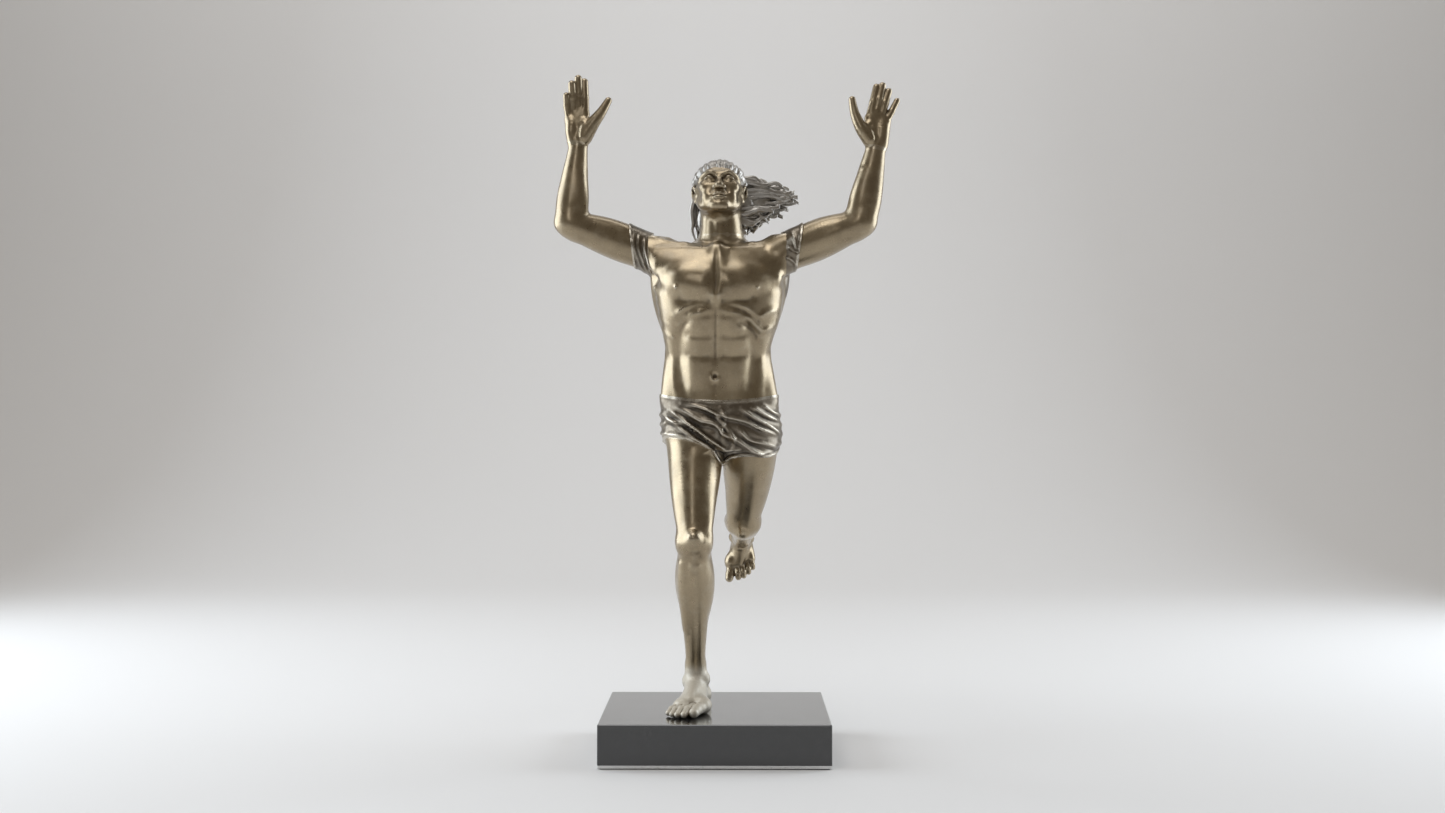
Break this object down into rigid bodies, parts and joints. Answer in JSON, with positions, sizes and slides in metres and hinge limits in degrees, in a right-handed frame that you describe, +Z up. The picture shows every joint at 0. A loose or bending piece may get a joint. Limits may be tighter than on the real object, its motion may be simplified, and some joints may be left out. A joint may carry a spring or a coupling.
{
  "type": "figure trophy",
  "caption": "Bronze runner with raised arms and one leg trailing, cast in dowelled sections and bolted to a polished stone block with a trim plate and felt foot.",
  "frame": {"origin": "centre of the felt pad's lower face, which is the plane the trophy stands on", "axes": "+Z up, the figure faces -Y, its right hand is on the -X side"},
  "size_m": [0.2456, 0.2065, 0.4835],
  "materials": {
    "bronze_skin": "warm brown patinated bronze, polished on the raised forms",
    "bronze_cloth": "darker brown patinated bronze with fine light ridges",
    "bronze_hair": "silver-grey rubbed bronze with dark recesses",
    "bronze_pins": "plain bronze pin",
    "stone": "polished black stone",
    "plate": "satin plate",
    "felt": "dark felt",
    "fasteners": "plain steel",
    "brass_inserts": "bright brass insert"
  },
  "bodies": {
    "root": {"felt_pad": "felt", "trim_plate": "plate", "base_block": "stone", "plate_inserts": "brass_inserts", "plate_screws": "fasteners", "anchor_stud": "fasteners", "anchor_washer": "fasteners", "anchor_nut": "fasteners", "toe_pin": "fasteners", "right_foot": "bronze_skin", "left_foot": "bronze_skin", "right_leg": "bronze_skin", "left_leg": "bronze_skin", "shorts": "bronze_cloth", "torso": "bronze_skin", "waist_pins": "bronze_pins", "right_sleeve": "bronze_cloth", "left_sleeve": "bronze_cloth", "right_arm": "bronze_skin", "left_arm": "bronze_skin", "right_hand": "bronze_skin", "left_hand": "bronze_skin", "head": "bronze_skin", "hair": "bronze_hair", "hair_pins": "bronze_pins", "neck_dowel": "fasteners", "left_ankle_dowel": "fasteners", "right_shoulder_dowel": "fasteners", "right_wrist_dowel": "fasteners", "left_shoulder_dowel": "fasteners", "left_wrist_dowel": "fasteners", "right_hip_dowel": "fasteners", "left_hip_dowel": "fasteners"}
  },
  "joints": []
}
